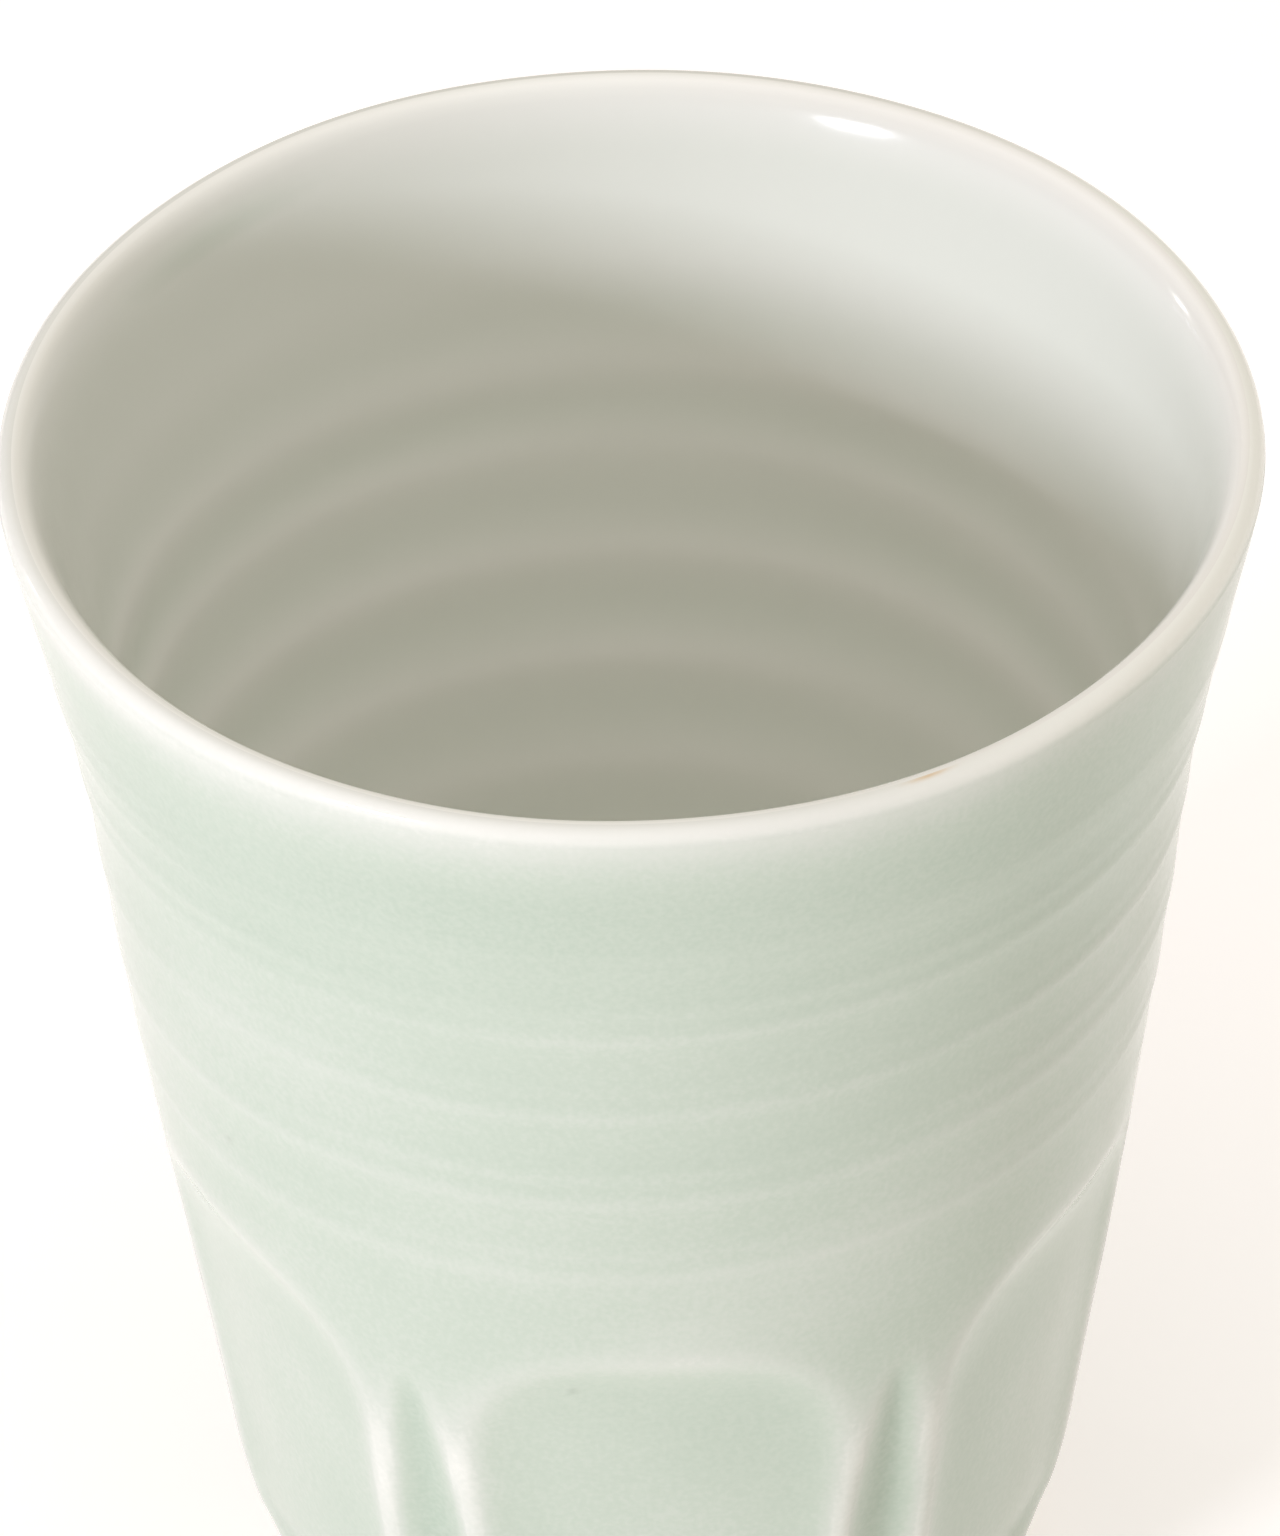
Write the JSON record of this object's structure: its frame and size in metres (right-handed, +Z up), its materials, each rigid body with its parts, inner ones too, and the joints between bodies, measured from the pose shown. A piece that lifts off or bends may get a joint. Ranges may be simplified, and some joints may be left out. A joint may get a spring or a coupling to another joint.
{
  "type": "brush holder pot",
  "caption": "Round tapered porcelain pot with a flared rim, open top, arch-topped fluting round its lower wall and a foot ring, for standing brushes and pens.",
  "frame": {"origin": "centre of the foot ring's resting face", "axes": "+Z up along the pot's axis, from the foot to the rim; -Y towards the front, through the middle of a wide flute"},
  "size_m": [0.0838, 0.0838, 0.1],
  "materials": {
    "bare_porcelain": "matt unglazed biscuit porcelain",
    "celadon_glaze": "gloss, pale blue-green, thin and white on edges",
    "clear_glaze": "gloss, nearly clear over white porcelain"
  },
  "bodies": {
    "root": {"porcelain_body": "bare_porcelain", "outer_glaze": "celadon_glaze", "inner_glaze": "clear_glaze", "base_glaze": "clear_glaze"}
  },
  "joints": []
}
